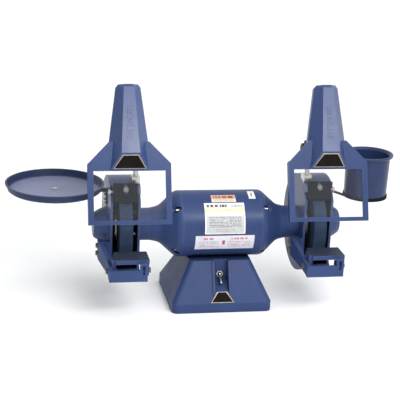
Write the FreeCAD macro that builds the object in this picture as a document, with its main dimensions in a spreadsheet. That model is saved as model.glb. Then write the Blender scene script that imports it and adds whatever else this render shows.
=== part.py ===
import FreeCAD, Part

import math
import os

import Sketcher

# Twin-wheel bench grinder. Millimetres. +X along the arbor, the operator stands at -Y, +Z up.
# The origin is the middle of the base's underside.

os.makedirs("parts", exist_ok=True)
doc = FreeCAD.newDocument("BenchGrinder")
sheet = doc.addObject("Spreadsheet::Sheet", "Dims")

SIZES = [
    # base casting
    ("base_width", 254), ("base_depth", 230), ("base_top_width", 156), ("base_top_depth", 136),
    ("base_height", 122), ("base_skirt", 24), ("base_wall", 6), ("base_roof", 16), ("base_corner", 15),
    ("bolt_span_x", 180), ("bolt_span_y", 160), ("bolt_hole_radius", 3.4), ("bolt_boss_radius", 14),
    ("plate_level", 3), ("plate_thick", 2), ("inlet_height", 36), ("inlet_radius", 9),
    ("can_radius", 19), ("can_y", 42), ("can_height", 60),
    # switch recess
    ("recess_half", 18), ("recess_back", -60), ("recess_floor", 50), ("recess_rise", 22),
    ("recess_wall", 6), ("switch_height", 84), ("lever_angle", 35), ("lever_length", 30),
    # motor
    ("shaft_height", 200), ("barrel_radius", 84), ("barrel_bore", 78), ("barrel_half", 100),
    ("neck_radius", 41), ("neck_end", 208), ("bolt_circle", 73), ("bearing_radius", 23.5),
    ("neck_circle", 32),
    ("bearing_inner", 190), ("bearing_width", 14), ("journal_radius", 10), ("arbor_radius", 8),
    ("core_half", 46), ("rotor_radius", 44), ("air_gap", 0.6), ("label_thick", 0.8),
    # grinding station
    ("station_x", 245), ("wheel_radius", 101.5), ("wheel_half", 16), ("blotter_thick", 1),
    ("blotter_radius", 37), ("flange_radius", 38), ("flange_thick", 9), ("nut_thick", 12),
    ("guard_radius", 125), ("guard_wall", 6), ("guard_half", 36), ("dome_radius", 46), ("dome_reach", 73),
    ("spark_half", 30), ("spark_length", 46), ("spark_thick", 3), ("slip", 0.3),
    # tool rest
    ("table_top", 162), ("table_thick", 6), ("table_back", -98), ("table_front", -158),
    ("table_left", -32), ("table_right", 50), ("rest_low", 113), ("rest_high", 141),
    ("rest_bolt_y", -141), ("rest_bolt_height", 130), ("rest_bolt_radius", 4),
    # eye shield
    ("shield_y", -165), ("shield_low", 255), ("shield_tilt", 20), ("frame_half", 100),
    ("frame_side", 145), ("frame_shoulder", 198), ("frame_neck", 48), ("frame_thick", 5),
    ("frame_lip", 16), ("window_half", 86.5), ("window_low", 10), ("window_high", 128),
    ("hood_wall", 3), ("pivot_y", -57), ("pivot_height", 410), ("pivot_radius", 4), ("running_gap", 0.05),
    ("arm_y", -34), ("arm_offset", 27), ("arm_radius", 6), ("arm_top", 436),
    # tray and pot
    ("tray_radius", 122), ("tray_x", -412), ("tray_y", 15), ("tray_level", 288), ("strap_thick", 3),
    ("bracket_foot", 252),
    ("pot_x", 395), ("pot_y", 20), ("pot_level", 265), ("pot_height", 112), ("pot_rim", 65),
]


class Size:
    """A length that knows its number and its spreadsheet expression."""

    def __init__(self, value, text, bound):
        self.value = value
        self.text = text
        self.bound = bound

    def join(self, other, sign, result):
        other = size(other)
        return Size(result(self.value, other.value), f"({self.text} {sign} {other.text})",
                    self.bound or other.bound)

    def __add__(self, other):
        return self.join(other, "+", lambda a, b: a + b)

    def __sub__(self, other):
        return self.join(other, "-", lambda a, b: a - b)

    def __mul__(self, other):
        return self.join(other, "*", lambda a, b: a * b)

    def __truediv__(self, other):
        return self.join(other, "/", lambda a, b: a / b)

    def __neg__(self):
        return Size(-self.value, f"(0 - {self.text})", self.bound)

    __radd__ = __add__
    __rmul__ = __mul__

    def __rsub__(self, other):
        return size(other) - self


def size(number):
    if isinstance(number, Size):
        return number
    return Size(float(number), f"({float(number)})", False)


class Dims:
    """The spreadsheet's cells as attributes."""


for row, (alias, number) in enumerate(SIZES, start=1):
    sheet.set(f"A{row}", alias)
    sheet.set(f"B{row}", str(number))
    sheet.setAlias(f"B{row}", alias)
    setattr(Dims, alias, Size(float(number), f"Dims.{alias}", True))
doc.recompute()
D = Dims
nodes = []


def bind(thing, prop, amount):
    """Set a property and keep it tied to the spreadsheet."""
    amount = size(amount)
    if amount.bound:
        thing.setExpression(prop, amount.text)
    else:
        setattr(thing, prop, amount.value)


def place(thing, x=0, y=0, z=0, axis=(1, 0, 0), angle=0):
    """Put an object at a point, turned about an axis, and tie the point to the spreadsheet."""
    point = [size(x), size(y), size(z)]
    turn = FreeCAD.Rotation(FreeCAD.Vector(*axis), size(angle).value)
    thing.Placement = FreeCAD.Placement(FreeCAD.Vector(*[p.value for p in point]), turn)
    for letter, p in zip("xyz", point):
        if p.bound:
            thing.setExpression(f"Placement.Base.{letter}", p.text)
    return thing


def keep(thing, label):
    """Make an object one of the grinder's named pieces."""
    thing.Label = label
    nodes.append(thing)
    return thing


def box(name, x, y, z):
    """A block between two limits on each axis."""
    block = doc.addObject("Part::Box", name)
    for prop, (low, high) in zip(("Length", "Width", "Height"), (x, y, z)):
        bind(block, prop, size(high) - size(low))
    return place(block, x[0], y[0], z[0])


def rod(name, radius, length, x=0, y=0, z=0, along="Z"):
    """A round bar that starts at a point and runs along +X, +Y or +Z."""
    bar = doc.addObject("Part::Cylinder", name)
    bind(bar, "Radius", radius)
    bind(bar, "Height", length)
    axis, angle = {"X": ((0, 1, 0), 90), "Y": ((1, 0, 0), -90), "Z": ((0, 0, 1), 0)}[along]
    return place(bar, x, y, z, axis, angle)


def hexagon(name, across_flats, length, x, y, z, along="X"):
    """A six-sided bar along an axis."""
    bar = doc.addObject("Part::Prism", name)
    bar.Polygon = 6
    bind(bar, "Circumradius", size(across_flats) / math.sqrt(3))
    bind(bar, "Height", length)
    axis, angle = {"X": ((0, 1, 0), 90), "Y": ((1, 0, 0), -90), "Z": ((0, 0, 1), 0)}[along]
    return place(bar, x, y, z, axis, angle)


def cut(name, base, *tools):
    """The base less each tool."""
    for number, tool in enumerate(tools):
        result = doc.addObject("Part::Cut", f"{name}_cut{number}")
        result.Base = base
        result.Tool = tool
        result.Refine = True
        base = result
    return base


def fuse(name, *shapes):
    """Several shapes cast as one."""
    result = doc.addObject("Part::MultiFuse", f"{name}_fuse")
    result.Shapes = list(shapes)
    result.Refine = True
    return result


def group(name, *shapes):
    """Several separate solids, kept apart in one piece."""
    result = doc.addObject("Part::Compound", f"{name}_group")
    result.Links = list(shapes)
    return result


def mirrored(thing, label):
    """The same piece on the other side of the grinder's middle plane."""
    doc.recompute()
    other = doc.addObject("Part::Mirroring", f"{label}_mirror")
    other.Source = thing
    other.Normal = FreeCAD.Vector(1, 0, 0)
    other.Base = FreeCAD.Vector(0, 0, 0)
    return keep(other, label)


def pair(thing, label):
    """A piece on the right and its mirror image on the left."""
    keep(thing, f"right_{label}")
    mirrored(thing, f"left_{label}")


def fix_vertex(sketch, line, u, v):
    """Hold a line's start at (u, v) from the sketch's origin."""
    for amount, kind, axis in ((size(u), "DistanceX", -2), (size(v), "DistanceY", -1)):
        if abs(amount.value) < 1e-9:
            sketch.addConstraint(Sketcher.Constraint("PointOnObject", line, 1, axis))
            continue
        ends = (-1, 1, line, 1) if amount.value > 0 else (line, 1, -1, 1)
        number = sketch.addConstraint(Sketcher.Constraint(kind, *ends, abs(amount.value)))
        if amount.bound:
            text = amount.text if amount.value > 0 else f"0 - {amount.text}"
            sketch.setExpression(f"Constraints[{number}]", text)


def outline(body, role, points):
    """A closed outline of straight lines on one of the body's own planes."""
    sketch = body.newObject("Sketcher::SketchObject", f"{body.Name}_outline")
    plane = [feature for feature in body.Origin.OriginFeatures if feature.Role == role][0]
    sketch.AttachmentSupport = (plane, [""])
    sketch.MapMode = "FlatFace"
    spots = [FreeCAD.Vector(size(u).value, size(v).value, 0) for u, v in points]
    lines = [Part.LineSegment(a, b) for a, b in zip(spots, spots[1:] + spots[:1])]
    sketch.addGeometry(lines, False)
    for line in range(len(lines)):
        sketch.addConstraint(Sketcher.Constraint("Coincident", line, 2, (line + 1) % len(lines), 1))
    for line, (u, v) in enumerate(points):
        fix_vertex(sketch, line, u, v)
    return sketch


def turned(name, points, along="X"):
    """A lathe-turned body: (distance along the axis, radius) points about X, or (radius, height) about Z."""
    body = doc.addObject("PartDesign::Body", name)
    sketch = outline(body, "XZ_Plane", points)
    spin = body.newObject("PartDesign::Revolution", f"{name}_turn")
    spin.Profile = sketch
    spin.ReferenceAxis = (sketch, ["H_Axis" if along == "X" else "V_Axis"])
    spin.Angle = 360
    return body


def plate(name, role, points, thick):
    """A flat body: XY_Plane grows to +Z, XZ_Plane to -Y and YZ_Plane to +X."""
    body = doc.addObject("PartDesign::Body", name)
    sketch = outline(body, role, points)
    pad = body.newObject("PartDesign::Pad", f"{name}_pad")
    pad.Profile = sketch
    bind(pad, "Length", thick)
    return body


def ring_edges(shape, spots):
    """Names of the circular edges about X at the given (distance, radius) spots."""
    found = []
    for number, edge in enumerate(shape.Edges, start=1):
        if not isinstance(edge.Curve, Part.Circle):
            continue
        here = (edge.Curve.Center.x, edge.Curve.Radius)
        if any(abs(here[0] - a) < 0.01 and abs(here[1] - r) < 0.01 for a, r in spots):
            found.append(f"Edge{number}")
    return found


def soften(body, spots, radius):
    """Round a turned body's rings."""
    doc.recompute()
    tip = body.Tip
    fillet = body.newObject("PartDesign::Fillet", f"{body.Name}_round")
    fillet.Base = (tip, ring_edges(tip.Shape, spots))
    fillet.Radius = radius
    doc.recompute()


def pyramid(name, width, depth, top_width, top_depth, low, high):
    """A block whose four sides lean inwards."""
    wedge = doc.addObject("Part::Wedge", name)
    spans = (("X", size(width)), ("Z", size(depth)), ("X2", size(top_width)), ("Z2", size(top_depth)))
    for letter, span in spans:
        bind(wedge, f"{letter}min", -(span / 2))
        bind(wedge, f"{letter}max", span / 2)
    bind(wedge, "Ymin", 0)
    bind(wedge, "Ymax", size(high) - size(low))
    return place(wedge, z=low, axis=(1, 0, 0), angle=90)


def round_corners(name, base, radius):
    """Round the edges that climb a block's corners."""
    doc.recompute()
    climbing = []
    for number, edge in enumerate(base.Shape.Edges, start=1):
        ends = [vertex.Point for vertex in edge.Vertexes]
        if abs(ends[0].z - ends[1].z) > 1:
            climbing.append((number, radius.value, radius.value))
    result = doc.addObject("Part::Fillet", name)
    result.Base = base
    result.Edges = climbing
    doc.recompute()
    return result


# ---------------------------------------------------------------- base
front_slope = (D.base_depth - D.base_top_depth) / 2 / (D.base_height - D.base_skirt)
FRONT_ANGLE = math.degrees(math.atan(front_slope.value))


def front_face(height):
    """How far forward the base's leaning front is at a height."""
    return -(D.base_depth / 2) + (size(height) - D.base_skirt) * front_slope


def recess_profile(grow):
    """The switch recess from the side, grown by a wall's thickness."""
    back = D.recess_back + grow
    floor = D.recess_floor - grow
    mouth = front_face(D.recess_floor) - 1
    return [(mouth - 60, floor), (mouth, floor), (back, floor + D.recess_rise),
            (back, D.base_height + 20), (mouth - 60, D.base_height + 20)]


def base_group():
    slope = round_corners("base_slope", pyramid("base_pyramid", D.base_width, D.base_depth, D.base_top_width,
                                                D.base_top_depth, D.base_skirt, D.base_height), D.base_corner)
    skirt = round_corners("base_skirt_round", box("base_skirt_block",
                                                  (-(D.base_width / 2), D.base_width / 2),
                                                  (-(D.base_depth / 2), D.base_depth / 2),
                                                  (0, D.base_skirt)), D.base_corner)
    outside = fuse("base_outside", slope, skirt)

    inner_half = D.base_width / 2 - D.base_wall
    inner_deep = D.base_depth / 2 - D.base_wall
    hollow = fuse("base_hollow",
                  box("skirt_hollow", (-inner_half, inner_half), (-inner_deep, inner_deep),
                      (0, D.base_skirt)),
                  pyramid("slope_hollow", inner_half * 2, inner_deep * 2, D.base_top_width - D.base_wall,
                          D.base_top_depth - D.base_wall, D.base_skirt, D.base_height - D.base_roof))
    grown = plate("recess_keepout", "YZ_Plane", recess_profile(D.recess_wall),
                  (D.recess_half + D.recess_wall) * 2)
    place(grown, x=-(D.recess_half + D.recess_wall))
    hollow = cut("base_hollow_net", hollow, grown)

    recess = plate("switch_recess", "YZ_Plane", recess_profile(0), D.recess_half * 2)
    place(recess, x=-D.recess_half)

    bosses = []
    holes = []
    for sx in (-1, 1):
        for sy in (-1, 1):
            spot = dict(x=D.bolt_span_x / 2 * sx, y=D.bolt_span_y / 2 * sy)
            bosses.append(rod("bolt_boss", D.bolt_boss_radius, 52, **spot))
            holes.append(rod("bolt_hole", D.bolt_hole_radius, 25, **spot))
    under_plate = D.plate_level + D.plate_thick
    for x, y in PLATE_SCREWS:
        bosses.append(rod("plate_post", 6, 53, x, y, under_plate))
        holes.append(rod("plate_screw_hole", 1.7, 14, x, y, under_plate))

    inlet_back = D.base_depth / 2 - 4
    bosses.append(rod("inlet_boss", D.inlet_radius + 6, 22, 0, inlet_back - 22, D.inlet_height, "Y"))
    ribs = []
    for side in (-1, 1):
        foot = D.recess_floor - 6
        rib = plate("recess_rib", "YZ_Plane",
                    [(front_face(foot) - 4.5, foot), (front_face(foot) + 6, foot),
                     (front_face(D.base_height) + 6, D.base_height),
                     (front_face(D.base_height) - 4.5, D.base_height)], 5)
        start = D.recess_half if side > 0 else -(D.recess_half + 5)
        ribs.append(place(rib, x=start))

    cradles = [box("capacitor_cradle", (x - 2, x + 2), (D.can_y - 18, D.can_y + 54),
                   (D.can_height - 26, D.can_height)) for x in (-30, 30)]
    can_seat = rod("capacitor_seat", D.can_radius, 120, -60, D.can_y, D.can_height, "X")

    casting = cut("base_shell", outside, hollow)
    casting = fuse("base_casting_full", casting, *bosses, *ribs, *cradles)
    saddle = rod("saddle", D.barrel_radius, 400, -200, 0, D.shaft_height, "X")
    neck = rod("switch_hole", 6.1, 20, 0, D.recess_back - 5, D.switch_height, "Y")
    inlet = rod("inlet_hole", D.inlet_radius, 60, 0, inlet_back - 40, D.inlet_height, "Y")
    inlet_seat = rod("inlet_seat", D.inlet_radius + 4, 20, 0, inlet_back, D.inlet_height, "Y")
    mount_holes = [rod("mount_hole", 3.3, 40, x, y, D.base_height - 30) for x, y in MOTOR_BOLTS]
    casting = cut("base_casting", casting, recess, saddle, neck, inlet, inlet_seat, can_seat,
                  *holes, *mount_holes)
    keep(casting, "base_casting")

    cover = box("bottom_sheet", (-(D.base_width / 2) + 8.5, D.base_width / 2 - 8.5),
                (-(D.base_depth / 2) + 8.5, D.base_depth / 2 - 8.5), (D.plate_level, under_plate))
    openings = [rod("boss_opening", D.bolt_boss_radius + 0.5, 10, D.bolt_span_x / 2 * sx,
                    D.bolt_span_y / 2 * sy, 0) for sx in (-1, 1) for sy in (-1, 1)]
    openings += [rod("screw_opening", 1.7, 10, x, y, 0) for x, y in PLATE_SCREWS]
    keep(cut("bottom_plate", cover, *openings), "bottom_plate")
    screws = []
    for x, y in PLATE_SCREWS:
        screws.append(fuse("plate_screw", rod("plate_screw_head", 3.5, 2, x, y, D.plate_level - 2),
                           rod("plate_screw_shank", 1.7, 12, x, y, D.plate_level)))
    keep(group("bottom_plate_screws", *screws), "bottom_plate_screws")

    grommet = fuse("grommet_body", rod("grommet_tube", D.inlet_radius, 24, 0, inlet_back - 22,
                                       D.inlet_height, "Y"),
                   rod("grommet_flange", D.inlet_radius + 3, 3, 0, inlet_back, D.inlet_height, "Y"))
    grommet = cut("cord_grommet", grommet, rod("grommet_bore", 4.5, 60, 0, inlet_back - 40,
                                               D.inlet_height, "Y"))
    keep(grommet, "cord_grommet")


PLATE_SCREWS = ((-103, 0), (103, 0), (0, -92), (0, 92))
MOTOR_BOLTS = ((-50, 24), (50, 24), (-50, -24), (50, -24))


def switch_group():
    pivot_y = D.recess_back - 4
    block_front = D.recess_back + D.recess_wall
    block = box("switch_block", (-12, 12), (block_front, block_front + 30),
                (D.switch_height - 15, D.switch_height + 15))
    bushing = rod("switch_bushing", 6, 9, 0, D.recess_back - 2.8, D.switch_height, "Y")
    socket = rod("switch_socket", 3.7, 12, 0, D.recess_back - 4, D.switch_height, "Y")
    keep(cut("switch_body", fuse("switch_solid", block, bushing), socket), "switch_body")

    nut = hexagon("switch_hex", 15, 2.4, 0, D.recess_back - 2.4, D.switch_height, "Y")
    keep(cut("switch_nut", nut, rod("switch_nut_bore", 6.05, 10, 0, D.recess_back - 6,
                                    D.switch_height, "Y")), "switch_nut")

    lever = turned("switch_bat", [(0, -3.2), (2.2, -2.4), (3.2, 0), (2.2, 2.4), (2, 5),
                                  (4, D.lever_length - 4), (3.4, D.lever_length - 1),
                                  (0, D.lever_length)], "Z")
    place(lever, 0, pivot_y, D.switch_height, (1, 0, 0), D.lever_angle + 90)
    keep(lever, "switch_lever")

    keep(rod("capacitor_can", D.can_radius, 92, -46, D.can_y, D.can_height, "X"), "run_capacitor")


def motor_bolt_group():
    bolts = []
    roof = D.base_height - D.base_roof
    for x, y in MOTOR_BOLTS:
        head = rod("motor_bolt_head", 6.5, 5, x, y, roof - 5)
        shank = rod("motor_bolt_shank", 3.3, 15, x, y, roof)
        bolts.append(fuse("motor_bolt", head, shank))
    keep(group("motor_mount_bolts", *bolts), "motor_mount_bolts")


# ---------------------------------------------------------------- motor
def around_shaft(reach, angle):
    """The Y and Z of a point so far from the shaft's line, at an angle counted from the rear upwards."""
    turn = math.radians(angle)
    return reach * math.cos(turn), D.shaft_height + reach * math.sin(turn)


def motor_group():
    shell = turned("barrel", [(-D.barrel_half, D.barrel_bore), (D.barrel_half, D.barrel_bore),
                              (D.barrel_half, D.barrel_radius), (-D.barrel_half, D.barrel_radius)])
    place(shell, z=D.shaft_height)
    sockets = [rod("barrel_thread", 3.3, 40, x, y, D.base_height - 30) for x, y in MOTOR_BOLTS]
    keep(cut("motor_barrel", shell, *sockets), "motor_barrel")

    shoulder = D.barrel_half + 10
    bell = turned("bell", [
        (D.barrel_half, 66), (D.barrel_half, D.barrel_radius), (shoulder, D.barrel_radius),
        (152, 46), (176, D.neck_radius), (D.neck_end, D.neck_radius), (D.neck_end, D.bearing_radius),
        (D.bearing_inner, D.bearing_radius), (D.bearing_inner, 18), (D.bearing_inner - 5, 18),
        (D.bearing_inner - 5, 34), (168, 34), (142, 40), (120, 62)])
    soften(bell, [(shoulder.value, D.barrel_radius.value)], 24)
    soften(bell, [(152, 46)], 36)
    place(bell, z=D.shaft_height)
    pockets = []
    pocket_floor = D.barrel_half + 4
    for angle in (45, 135, 225, 315):
        y, z = around_shaft(D.bolt_circle, angle)
        pockets.append(rod("bolt_passage", 3, 20, D.barrel_half - 5, y, z, "X"))
        y, z = around_shaft(D.bolt_circle + 2.5, angle)
        pockets.append(rod("bolt_pocket", 9, 30, pocket_floor, y, z, "X"))
    for angle in GUARD_SCREW_ANGLES:
        y, z = around_shaft(D.neck_circle, angle)
        pockets.append(rod("neck_thread", 2.6, 14, 200, y, z, "X"))
    pair(cut("end_bell", bell, *pockets), "end_bell")

    bolts = []
    for angle in (45, 135, 225, 315):
        y, z = around_shaft(D.bolt_circle, angle)
        tip = pocket_floor + 13
        shank = rod("through_shank", 3, tip * 2, -tip, y, z, "X")
        nuts = [hexagon("through_nut", 10, 6, start, y, z) for start in (-(pocket_floor + 6), pocket_floor)]
        bolts.append(fuse("through_bolt", shank, *nuts))
    keep(group("through_bolts", *bolts), "through_bolts")

    core_bore = D.rotor_radius + D.air_gap
    core = turned("core_ring", [(-D.core_half, core_bore), (D.core_half, core_bore),
                                (D.core_half, D.barrel_bore), (-D.core_half, D.barrel_bore)])
    place(core, z=D.shaft_height)
    notches = []
    for angle in (45, 135, 225, 315):
        y, z = around_shaft(D.bolt_circle, angle)
        notches.append(rod("core_notch", 3.6, 120, -60, y, z, "X"))
    keep(cut("stator_core", core, *notches), "stator_core")

    coils = []
    for side in (-1, 1):
        near = D.core_half * side
        far = (D.core_half + 24) * side
        coil = turned("coil", [(near, 50), (far, 53), (far, 64), (near, 67)])
        coils.append(place(coil, z=D.shaft_height))
    keep(group("stator_windings", *coils), "stator_windings")

    bearings = []
    for side in (-1, 1):
        near = D.bearing_inner * side
        far = (D.bearing_inner + D.bearing_width) * side
        bore = D.journal_radius + D.running_gap
        ring = turned("bearing", [(near, bore), (far, bore), (far, D.bearing_radius),
                                  (near, D.bearing_radius)])
        bearings.append(place(ring, z=D.shaft_height))
    keep(bearings[0], "left_bearing")
    keep(bearings[1], "right_bearing")

    keep(sticker("rating", -47, 55, 36, 91), "rating_plate")
    keep(group("motor_labels", sticker("upper_sticker", -26, 36, 17, 34),
               sticker("lower_sticker", -70, 80, 94, 122)), "motor_labels")


def sticker(name, left, right, first, last):
    """A thin plate wrapped on the barrel between two angles, counted from the top towards the front."""
    skins = []
    for part, radius in (("outer", D.barrel_radius + D.label_thick), ("inner", D.barrel_radius)):
        skin = rod(f"{name}_{part}", radius, right - left, left, 0, D.shaft_height, "X")
        skin.Angle = last - first
        skins.append(skin)
    doc.recompute()
    about_x = FreeCAD.Rotation(FreeCAD.Vector(1, 0, 0), first)
    lay = FreeCAD.Rotation(FreeCAD.Matrix(0, 0, 1, 0, 0, -1, 0, 0, 1, 0, 0, 0, 0, 0, 0, 1))
    for skin in skins:
        skin.Placement = FreeCAD.Placement(skin.Placement.Base, about_x.multiply(lay))
    return cut(name, *skins)


# ---------------------------------------------------------------- arbor
def arbor_group():
    shoulder = D.station_x - D.wheel_half - D.blotter_thick - D.flange_thick
    tip = D.station_x + D.wheel_half + D.blotter_thick + D.flange_thick + D.nut_thick + 6
    shaft = turned("shaft", [
        (-tip, 0), (-tip, D.arbor_radius - 1), (-tip + 1, D.arbor_radius), (-shoulder, D.arbor_radius),
        (-shoulder, D.journal_radius), (-D.bearing_inner, D.journal_radius),
        (-D.bearing_inner, 13), (D.bearing_inner, 13), (D.bearing_inner, D.journal_radius),
        (shoulder, D.journal_radius), (shoulder, D.arbor_radius), (tip - 1, D.arbor_radius),
        (tip, D.arbor_radius - 1), (tip, 0)])
    keep(place(shaft, z=D.shaft_height), "arbor_shaft")

    rotor = turned("rotor", [(-D.core_half, 13), (D.core_half, 13), (D.core_half, D.rotor_radius),
                             (-D.core_half, D.rotor_radius)])
    keep(place(rotor, z=D.shaft_height), "rotor_core")

    flanges = []
    blotters = []
    nuts = []
    for side, label in ((1, "right"), (-1, "left")):
        x = D.station_x * side
        face = D.wheel_half
        wheel = turned(f"wheel_{label}", [
            (-face, D.arbor_radius), (face, D.arbor_radius), (face, D.wheel_radius - 1),
            (face - 1, D.wheel_radius), (-face + 1, D.wheel_radius), (-face, D.wheel_radius - 1)])
        keep(place(wheel, x=x, z=D.shaft_height), f"{label}_wheel")
        for way in (-1, 1):
            skin = (face + D.blotter_thick) * way
            blotter = turned("blotter", [(face * way, D.arbor_radius), (skin, D.arbor_radius),
                                         (skin, D.blotter_radius), (face * way, D.blotter_radius)])
            blotters.append(place(blotter, x=x, z=D.shaft_height))
            back = skin + D.flange_thick * way
            flange = turned("flange", [
                (skin + 2 * way, D.arbor_radius), (skin + 2 * way, 28), (skin, 30), (skin, D.flange_radius),
                (skin + 4 * way, D.flange_radius), (back, 20), (back, D.arbor_radius)])
            flanges.append(place(flange, x=x, z=D.shaft_height))
        outside = D.station_x + face + D.blotter_thick + D.flange_thick
        start = outside if side > 0 else -(outside + D.nut_thick)
        nut = hexagon("nut_hex", 24, D.nut_thick, start, 0, D.shaft_height)
        nuts.append(cut("arbor_nut", nut, rod("nut_bore", D.arbor_radius, 40, x=start - 10,
                                              z=D.shaft_height, along="X")))
    keep(group("wheel_flanges", *flanges), "wheel_flanges")
    keep(group("wheel_blotters", *blotters), "wheel_blotters")
    keep(group("arbor_nuts", *nuts), "arbor_nuts")


# ---------------------------------------------------------------- wheel guards
def about_shaft(points):
    """Side-view points given from the shaft's centre, raised to the shaft's height."""
    return [(y, D.shaft_height + z) for y, z in points]


LIP_TOP = (-57.5, 117)
LIP_FOOT = (-66, 99)
LIP_ANGLE = math.degrees(math.atan2(LIP_TOP[0] - LIP_FOOT[0], LIP_TOP[1] - LIP_FOOT[1]))
LIP_DOWN = (-math.sin(math.radians(LIP_ANGLE)), -math.cos(math.radians(LIP_ANGLE)))
LIP_OUT = (-math.cos(math.radians(LIP_ANGLE)), math.sin(math.radians(LIP_ANGLE)))
MOUTH = [(-50, 150), (-46, 107), (-72, 78), (-72, -86), (-88, -98), (-170, -140), (-170, 150)]
COVER_SCREW_ANGLES = (62, 180, 298)
GUARD_SCREW_ANGLES = (90, 210, 330)


def guard_group():
    inner = D.station_x - D.guard_half
    outer = D.station_x + D.guard_half
    rim = D.guard_radius - D.guard_wall
    housing = turned("housing_cup", [
        (inner - 1, D.bearing_radius), (inner - 1, D.neck_radius), (inner - 1, D.guard_radius),
        (outer - 5, D.guard_radius), (outer - 5, rim), (inner + 5, rim), (inner + 5, D.bearing_radius)])
    place(housing, z=D.shaft_height)
    width = D.guard_half * 2 + 20
    mouth = place(plate("guard_mouth", "YZ_Plane", about_shaft(MOUTH), width), x=inner - 10)
    lip = plate("guard_lip", "YZ_Plane", about_shaft(
        [(-45, 119.5), LIP_TOP, LIP_FOOT, (-60, 97), (-50, 109)]), D.guard_half * 2 - 4)
    place(lip, x=inner - 1)
    chute_y = 80
    chute = fuse("chute", rod("chute_pipe", 28, 66, D.station_x, chute_y, D.shaft_height - 62, "Y"),
                 rod("chute_collar", 29.5, 20, D.station_x, chute_y + 46, D.shaft_height - 62, "Y"))
    lugs = []
    holes = []
    for angle in COVER_SCREW_ANGLES:
        y, z = around_shaft(rim - 3, 180 - angle)
        lugs.append(rod("cover_lug", 8, D.guard_half * 2 - 10, inner + 5, y, z, "X"))
        holes.append(rod("cover_screw_hole", 2.5, 20, outer - 20, y, z, "X"))
    for angle in GUARD_SCREW_ANGLES:
        y, z = around_shaft(D.neck_circle, angle)
        holes.append(rod("guard_screw_hole", 2.6, 20, inner - 10, y, z, "X"))
    air = rod("guard_air", rim, D.guard_half * 2 - 4, inner + 5, 0, D.shaft_height, "X")
    outside = cut("chute_net", chute, air)
    solid = cut("housing_open", housing, mouth)
    solid = fuse("housing_full", solid, lip, outside, *lugs)
    bore = rod("chute_bore", 25.4, 80, D.station_x, chute_y, D.shaft_height - 62, "Y")
    clamp = place(rod("lip_thread", 2.9, 16), D.station_x, *lip_point(9, -15), (1, 0, 0), 90 - LIP_ANGLE)
    pair(cut("guard_housing", solid, bore, clamp, *holes), "guard_housing")

    face = outer + 1
    dome = [
        (outer - 5, 0), (outer - 5, D.guard_radius), (face, D.guard_radius),
        (face, D.dome_radius + 5), (face + 6, D.dome_radius), (D.station_x + D.dome_reach - 12, 38),
        (D.station_x + D.dome_reach, 30), (D.station_x + D.dome_reach, 0)]
    cover = turned("cover_disc", dome)
    dome_face = (D.station_x + D.dome_reach).value
    soften(cover, [(dome_face, 30), (dome_face - 12, 38)], 6)
    place(cover, z=D.shaft_height)
    hollow = turned("dome_hollow", [
        (outer - 6, 0), (outer - 6, 40), (outer + 4, 40), (D.station_x + D.dome_reach - 12, 33),
        (D.station_x + D.dome_reach - 5, 26), (D.station_x + D.dome_reach - 5, 0)])
    place(hollow, z=D.shaft_height)
    clear = []
    for angle in COVER_SCREW_ANGLES:
        y, z = around_shaft(rim - 3, 180 - angle)
        clear.append(rod("cover_hole", 2.5, 20, outer - 12, y, z, "X"))
    for z in BRACKET_SCREWS:
        clear.append(rod("bracket_hole", 2.5, 20, outer - 12, D.tray_y, z, "X"))
    pair(cut("guard_cover", cover, mouth, hollow, *clear), "guard_cover")

    screws = []
    for side in (-1, 1):
        for angle in COVER_SCREW_ANGLES:
            y, z = around_shaft(rim - 3, 180 - angle)
            screws.append(side_screw(side, face, y, z, 18))
        for z in BRACKET_SCREWS:
            screws.append(side_screw(side, face + D.strap_thick, D.tray_y, z, 8))
        for angle in GUARD_SCREW_ANGLES:
            y, z = around_shaft(D.neck_circle, angle)
            start = inner + 5 if side > 0 else -(inner + 9)
            shank = inner - 9 if side > 0 else -(inner + 5)
            screws.append(fuse("neck_screw", rod("neck_screw_head", 4, 4, start, y, z, "X"),
                               rod("neck_screw_shank", 2.6, 14, shank, y, z, "X")))
    screws.append(tray_screw())
    keep(group("guard_screws", *screws), "guard_and_bracket_screws")


BRACKET_SCREWS = (258, 271.5)


def side_screw(side, seat, y, z, grip):
    """A hexagon screw along X whose head sits on the outer side of a seat."""
    head = 5
    start = seat if side > 0 else -(seat + head)
    shank = seat - grip if side > 0 else -seat
    return fuse("side_screw", hexagon("side_screw_head", 11, head, start, y, z),
                rod("side_screw_shank", 2.5, grip, shank, y, z, "X"))


def lip_point(down, out):
    """A point on the spark guard's seat: so far down it and so far out from it."""
    y = LIP_TOP[0] + LIP_DOWN[0] * down + LIP_OUT[0] * out
    z = LIP_TOP[1] + LIP_DOWN[1] * down + LIP_OUT[1] * out
    return y, D.shaft_height + z


def spark_group():
    gap = D.slip.value
    thick = D.spark_thick.value
    foot = place(box("spark_sheet", (-D.spark_half, D.spark_half), (0, D.spark_thick), (0, D.spark_length)),
                 D.station_x - D.spark_half, *lip_point(39, gap + thick), (1, 0, 0), -LIP_ANGLE)
    slot = place(box("spark_slot", (0, 7), (0, 20), (0, 24)),
                 D.station_x - 3.5, *lip_point(20, gap + thick + 8), (1, 0, 0), -LIP_ANGLE)
    pair(cut("spark_guard", foot, slot), "spark_guard")
    screws = []
    for side in (-1, 1):
        x = D.station_x * side
        turn = (1, 0, 0), 90 - LIP_ANGLE
        head = place(rod("spark_head", 6.5, 4.5), x, *lip_point(9, gap * 2 + thick), *turn)
        shank = place(rod("spark_shank", 2.9, 12), x, *lip_point(9, -8), *turn)
        screws.append(fuse("spark_screw", head, shank))
    keep(group("spark_guard_screws", *screws), "spark_guard_screws")


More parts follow.
